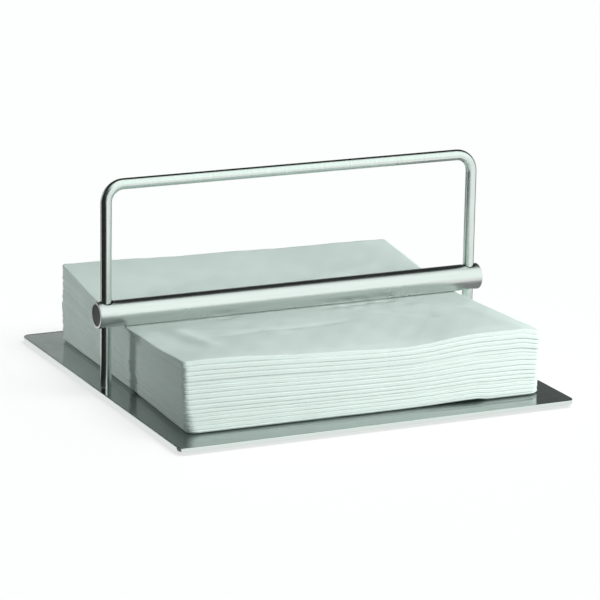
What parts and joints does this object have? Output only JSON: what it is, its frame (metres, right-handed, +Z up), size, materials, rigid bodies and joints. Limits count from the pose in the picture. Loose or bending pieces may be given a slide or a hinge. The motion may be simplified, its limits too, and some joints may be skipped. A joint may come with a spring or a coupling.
{
  "type": "napkin holder",
  "caption": "Square steel plate with a rod bow and a weighted bar that slides on the bow's legs and holds down a stack of folded paper napkins.",
  "frame": {"origin": "on the table, under the middle of the plate (the pads' undersides are at Z = 0)", "axes": "+X runs along the weighted bar, +Y runs from the front edge of the plate to its back edge, +Z is up, the way the bar lifts"},
  "size_m": [0.19, 0.19, 0.0982],
  "materials": {
    "plate_steel": "polished stainless sheet with a fine grain",
    "rod_steel": "polished stainless rod",
    "tube_steel": "satin stainless tube, grain round the tube",
    "core_steel": "plain drawn bar, hidden",
    "screw_steel": "machined",
    "bush_plastic": "moulded, dark",
    "cap_plastic": "moulded, dark",
    "pad_rubber": "matt",
    "paper": "soft tissue, embossed"
  },
  "bodies": {
    "holder": {"base_plate": "plate_steel", "bow": "rod_steel", "left_foot_screw": "screw_steel", "right_foot_screw": "screw_steel", "front_left_pad": "pad_rubber", "front_right_pad": "pad_rubber", "back_left_pad": "pad_rubber", "back_right_pad": "pad_rubber", "napkin_01": "paper", "napkin_02": "paper", "napkin_03": "paper", "napkin_04": "paper", "napkin_05": "paper", "napkin_06": "paper", "napkin_07": "paper", "napkin_08": "paper", "napkin_09": "paper", "napkin_10": "paper", "napkin_11": "paper", "napkin_12": "paper", "napkin_13": "paper", "napkin_14": "paper", "napkin_15": "paper", "napkin_16": "paper"},
    "bar": {"bar_tube": "tube_steel", "bar_core": "core_steel", "left_guide_bush": "bush_plastic", "right_guide_bush": "bush_plastic", "left_end_cap": "cap_plastic", "right_end_cap": "cap_plastic"}
  },
  "joints": [
    {"name": "bar_lift", "type": "slide", "parent": "holder", "child": "bar", "axis": [0, 0, 1], "range_m": [0, 0.044]}
  ]
}
